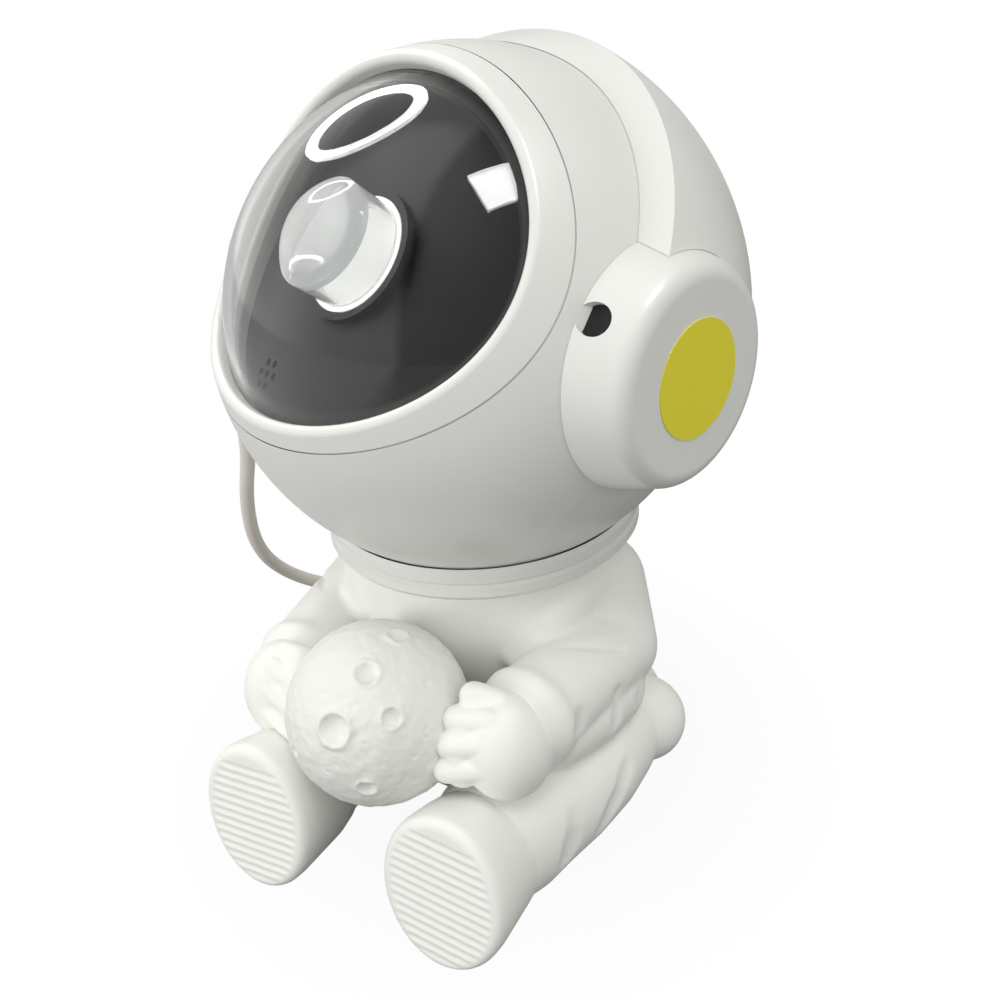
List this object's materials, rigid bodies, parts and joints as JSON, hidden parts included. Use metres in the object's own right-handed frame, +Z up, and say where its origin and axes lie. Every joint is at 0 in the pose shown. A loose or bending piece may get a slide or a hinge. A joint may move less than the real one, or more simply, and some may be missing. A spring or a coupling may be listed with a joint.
{
  "type": "planetarium projector",
  "caption": "Seated astronaut figure holding a cratered moon, with a ball head that turns on its neck and projects stars through a clear domed visor.",
  "frame": {"origin": "on the table, under the neck axis", "axes": "+Z up, the figure faces -Y, its left hand is +X"},
  "size_m": [0.2023, 0.211, 0.1848],
  "materials": {
    "helmet_white": "satin white moulded ABS",
    "figure_white": "soft satin white cast vinyl",
    "clear_dome": "polished clear polycarbonate",
    "clear_optic": "polished clear optical plastic",
    "black_matte": "matte black moulded plastic",
    "reflector_silver": "bright vacuum-metallised cone",
    "steel": "plain steel",
    "brass_tube": "turned brass",
    "heatsink_metal": "extruded aluminium",
    "board_green": "glass-fibre board with solder mask",
    "led_yellow": "lamp chip with phosphor",
    "notice_yellow": "blank yellow film label",
    "button_grey": "soft grey caps",
    "magnet_nickel": "nickel-plated magnet",
    "pad_rubber": "soft rubber",
    "lead_sheath": "off-white soft sheath with a fine weave",
    "plug_metal": "nickel-plated pressed shell"
  },
  "bodies": {
    "figure": {"neck_collar": "figure_white", "seat_retainer": "figure_white", "retainer_screws": "steel", "trunk_front_shell": "figure_white", "trunk_rear_shell": "figure_white", "arm_left": "figure_white", "arm_right": "figure_white", "hand_left": "figure_white", "hand_right": "figure_white", "leg_left": "figure_white", "leg_right": "figure_white", "boot_left": "figure_white", "boot_right": "figure_white", "moon_ball": "figure_white", "base_cover": "figure_white", "foot_pad": "pad_rubber", "base_ballast": "steel", "lead_lower": "lead_sheath", "lead_on_table": "lead_sheath", "lead_coil": "lead_sheath", "lead_tail": "lead_sheath", "plug_grip": "lead_sheath", "plug_shell": "plug_metal"},
    "neck_swivel": {"swivel_seat": "figure_white", "neck_magnet": "magnet_nickel", "lead_upper": "lead_sheath"},
    "head": {"helmet_front_shell": "helmet_white", "helmet_rear_shell": "helmet_white", "helmet_hood": "helmet_white", "visor_bezel": "helmet_white", "visor_dome": "clear_dome", "inner_mask": "black_matte", "ear_cup_left": "helmet_white", "ear_cup_right": "helmet_white", "blank_notice_disc": "notice_yellow", "cord_strain_relief": "lead_sheath", "projection_lens": "clear_optic", "lens_barrel": "black_matte", "reflector_cone": "reflector_silver", "optics_chassis": "black_matte", "condenser_lens": "clear_optic", "led_board": "board_green", "led_chips": "led_yellow", "led_heatsink": "heatsink_metal", "nebula_motor": "steel", "star_motor": "steel", "laser_module": "brass_tube", "main_board": "board_green", "board_screws": "steel", "chassis_screws": "steel", "button_board": "board_green", "ir_window": "black_matte", "head_seat_plate": "steel"},
    "nebula_drive": {"ripple_disc": "clear_optic", "nebula_motor_shaft": "steel"},
    "star_drive": {"grating_disc": "clear_optic", "star_motor_shaft": "steel"},
    "left_button": {"button_left": "button_grey"},
    "middle_button": {"button_middle": "button_grey"},
    "right_button": {"button_right": "button_grey"}
  },
  "joints": [
    {"name": "head_pan", "type": "hinge", "parent": "figure", "child": "neck_swivel", "pos_m": [0, 0, 0.06], "axis": [0, 0, 1], "range_deg": [-60, 60], "deforming": ["lead_lower"]},
    {"name": "head_nod", "type": "hinge", "parent": "neck_swivel", "child": "head", "pos_m": [0, 0, 0.1248], "axis": [-0.9542, 0.299, 0], "range_deg": [-35, 25], "deforming": ["lead_upper"]},
    {"name": "nebula_disc_spin", "type": "hinge", "parent": "head", "child": "nebula_drive", "pos_m": [0.01689, -0.00628, 0.12363], "axis": [-0.2324, -0.7416, 0.6293], "continuous": true},
    {"name": "star_disc_spin", "type": "hinge", "parent": "head", "child": "star_drive", "pos_m": [-0.02093, 0.01348, 0.13296], "axis": [-0.2324, -0.7416, 0.6293], "continuous": true},
    {"name": "left_button_press", "type": "slide", "parent": "head", "child": "left_button", "axis": [-0.281, -0.8967, 0.342], "range_m": [0, 0.0008], "stiffness_N_per_m": 400, "springref_m": -0.0008},
    {"name": "middle_button_press", "type": "slide", "parent": "head", "child": "middle_button", "axis": [-0.281, -0.8967, 0.342], "range_m": [0, 0.0008], "stiffness_N_per_m": 400, "springref_m": -0.0008},
    {"name": "right_button_press", "type": "slide", "parent": "head", "child": "right_button", "axis": [-0.281, -0.8967, 0.342], "range_m": [0, 0.0008], "stiffness_N_per_m": 400, "springref_m": -0.0008}
  ]
}
